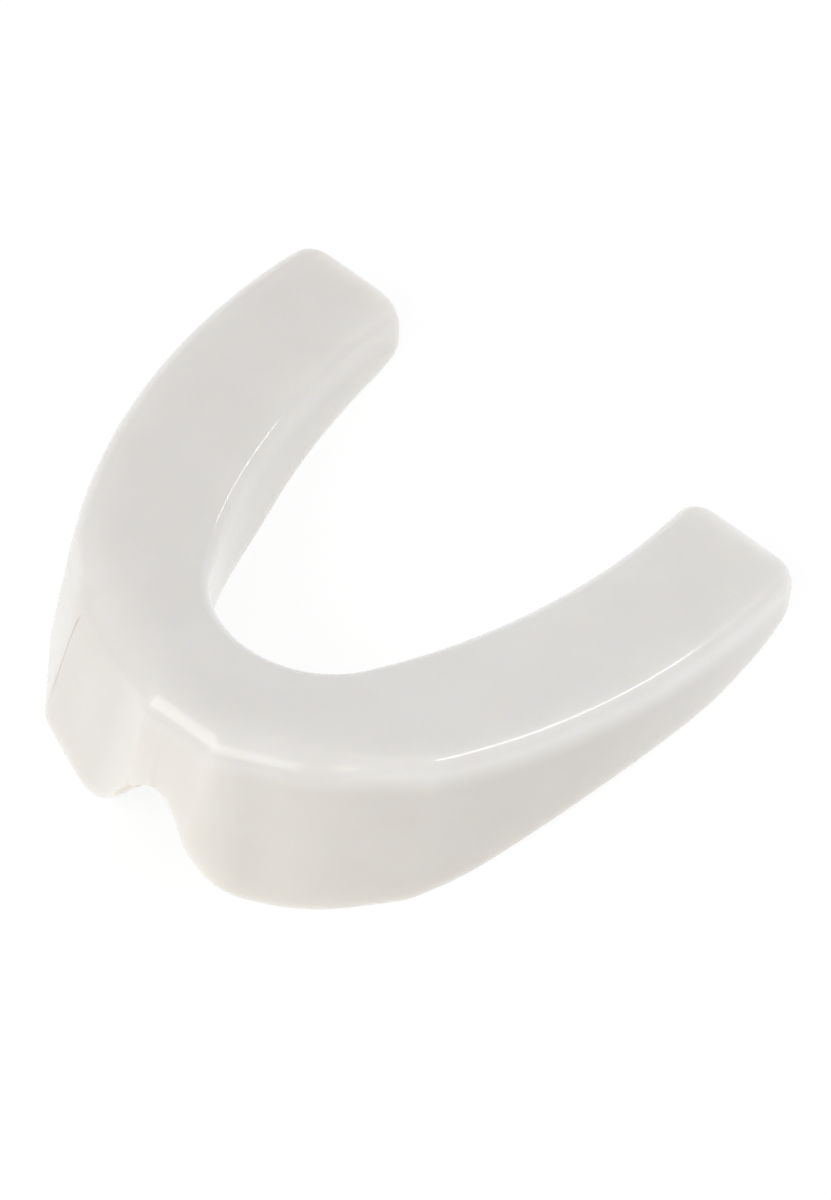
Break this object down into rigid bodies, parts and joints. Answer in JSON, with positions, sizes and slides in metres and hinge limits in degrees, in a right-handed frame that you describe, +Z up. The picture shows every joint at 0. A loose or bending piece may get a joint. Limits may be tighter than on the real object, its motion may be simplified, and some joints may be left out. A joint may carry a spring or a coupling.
{
  "type": "boil-and-bite mouthguard",
  "caption": "Soft U-shaped single-arch mouthguard with bite plate, tooth channel, tall front flange with frenulum notch, and flanges that run out at the arm ends",
  "frame": {"origin": "under the middle of the guard's box, on the surface it rests on", "axes": "+X across the arch, -Y is the incisor side and +Y the open arm ends, +Z up with the bite plate on top; the bite plate falls 14.5 degrees towards the arms because the guard rests on its flange lips"},
  "size_m": [0.0598, 0.0556, 0.0186],
  "materials": {
    "eva": "milky translucent soft EVA, smooth moulded satin gloss"
  },
  "bodies": {
    "root": {"mouthguard": "eva"}
  },
  "joints": []
}
